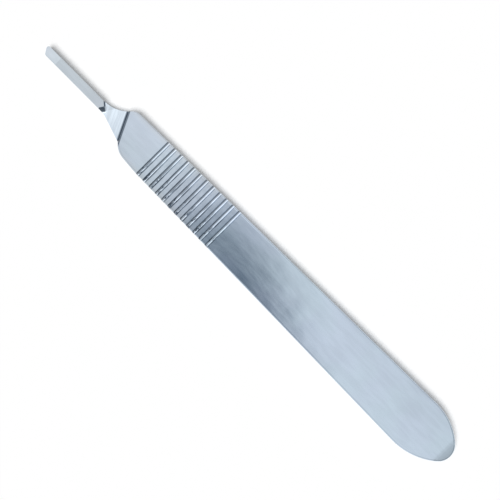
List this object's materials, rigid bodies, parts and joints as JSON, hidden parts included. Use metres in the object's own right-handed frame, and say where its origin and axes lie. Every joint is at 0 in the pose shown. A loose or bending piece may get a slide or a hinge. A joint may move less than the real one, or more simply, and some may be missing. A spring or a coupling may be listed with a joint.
{
  "type": "scalpel handle",
  "caption": "Flat, tapering stainless scalpel handle with cross-grooved grip, stepped neck and narrow slotted tang that takes a detachable blade.",
  "frame": {"origin": "on the resting plane, under the middle of the overall length and of the tail's width", "axes": "+X along the handle to the tang's tip, +Z out of the front face that carries the blade seat, +Y to the sloping side of the neck"},
  "size_m": [0.125, 0.0124, 0.0026],
  "materials": {
    "satin_steel": "satin ground stainless steel with fine grain, slightly cloudy and bluish"
  },
  "bodies": {
    "root": {"scalpel_handle": "satin_steel"}
  },
  "joints": []
}
